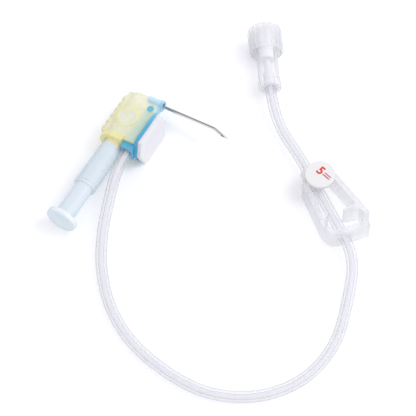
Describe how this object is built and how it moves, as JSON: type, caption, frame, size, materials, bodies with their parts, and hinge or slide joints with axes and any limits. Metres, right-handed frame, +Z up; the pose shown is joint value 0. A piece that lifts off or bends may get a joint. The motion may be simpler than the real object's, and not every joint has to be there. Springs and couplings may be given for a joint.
{
  "type": "huber needle",
  "caption": "Safety Huber infusion set: bent needle on a padded base, folding yellow grip with a telescoping sheath, clear tubing loop, pinch clamp, round tag and capped luer.",
  "frame": {"origin": "on the table, below the middle of the needle head", "axes": "+Y along the sheath arm towards the needle end, +X the needle's direction seen from above, +Z up"},
  "size_m": [0.0818, 0.1014, 0.0095],
  "materials": {
    "needle_steel": "drawn stainless steel",
    "nose_blue": "translucent light blue",
    "base_teal": "moulded teal blue",
    "pad_foam": "fine closed foam",
    "grip_yellow": "translucent pale yellow",
    "sheath_blue": "translucent pale blue",
    "clamp_natural": "natural white, translucent",
    "tag_white": "white with a plain red print",
    "clear_rigid": "clear, rigid",
    "clear_tube": "clear, flexible"
  },
  "bodies": {
    "set": {"base_body": "base_teal", "foam_pad": "pad_foam", "needle": "needle_steel", "needle_hub": "nose_blue", "tubing": "clear_tube", "luer_connector": "clear_rigid", "clamp_body": "clamp_natural", "flow_tag": "tag_white"},
    "grip_arm": {"gripper_housing": "grip_yellow", "outer_sheath": "sheath_blue"},
    "thumb_tube": {"inner_sheath": "sheath_blue"},
    "clamp_arm": {"clamp_lever": "clamp_natural"},
    "cap": {"luer_cap": "clear_rigid"}
  },
  "joints": [
    {"name": "grip_fold", "type": "hinge", "parent": "set", "child": "grip_arm", "pos_m": [-0.00581, 0.016, 0.00449], "axis": [0.0935, 0, -0.9956], "range_deg": [0, 90]},
    {"name": "thumb_slide", "type": "slide", "parent": "grip_arm", "child": "thumb_tube", "axis": [0, -1, 0], "range_m": [-0.0098, 0.0075]},
    {"name": "clamp_pinch", "type": "hinge", "parent": "set", "child": "clamp_arm", "pos_m": [0.04085, 0.02276, 0.00325], "axis": [0, 0, -1], "range_deg": [0, 13], "stiffness_Nm_per_rad": 0.002, "deforming": ["tubing"]},
    {"name": "cap_pull", "type": "slide", "parent": "set", "child": "cap", "axis": [-0.5592, 0.829, 0], "range_m": [0, 0.007]}
  ]
}
